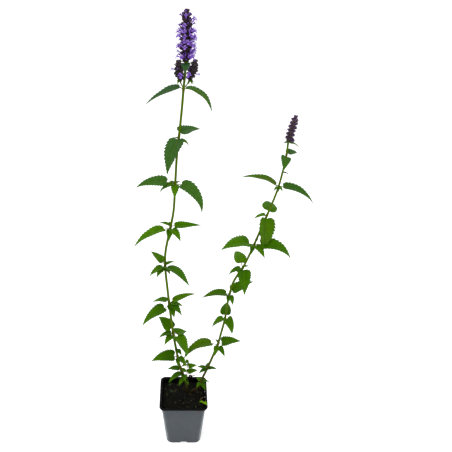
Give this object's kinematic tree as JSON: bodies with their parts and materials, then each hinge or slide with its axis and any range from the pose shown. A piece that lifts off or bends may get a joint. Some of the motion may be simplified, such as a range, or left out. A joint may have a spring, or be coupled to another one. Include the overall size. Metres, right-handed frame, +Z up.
{
  "type": "potted black adder agastache",
  "caption": "Young giant hyssop in a square nursery pot: opposite toothed leaves on slender stems that end in dense spikes of small tubular flowers and buds.",
  "frame": {"origin": "centre of the pot's flat underside", "axes": "+Z up along the plant, -Y towards the viewer of the picture, +X towards the side stem"},
  "size_m": [0.2909, 0.1106, 0.7912],
  "materials": {
    "pot_plastic": "satin slate-grey outside, black inside and on the rim",
    "compost": "damp, crumbly and dark; stands in for compost",
    "foliage": "soft matte leaf green; stands in for living leaf",
    "seedling_green": "matte yellow-green; stands in for living leaf",
    "flower_spike": "matte dark purple calyces and violet flowers; stands in for petals"
  },
  "bodies": {
    "root": {"pot": "pot_plastic", "compost": "compost", "main_leafy_stem": "foliage", "side_leafy_stem": "foliage", "low_leafy_shoot": "foliage", "seedling": "seedling_green", "main_flower_spike": "flower_spike", "left_flower_spike": "flower_spike", "right_flower_spike": "flower_spike", "bud_spike": "flower_spike"}
  },
  "joints": []
}
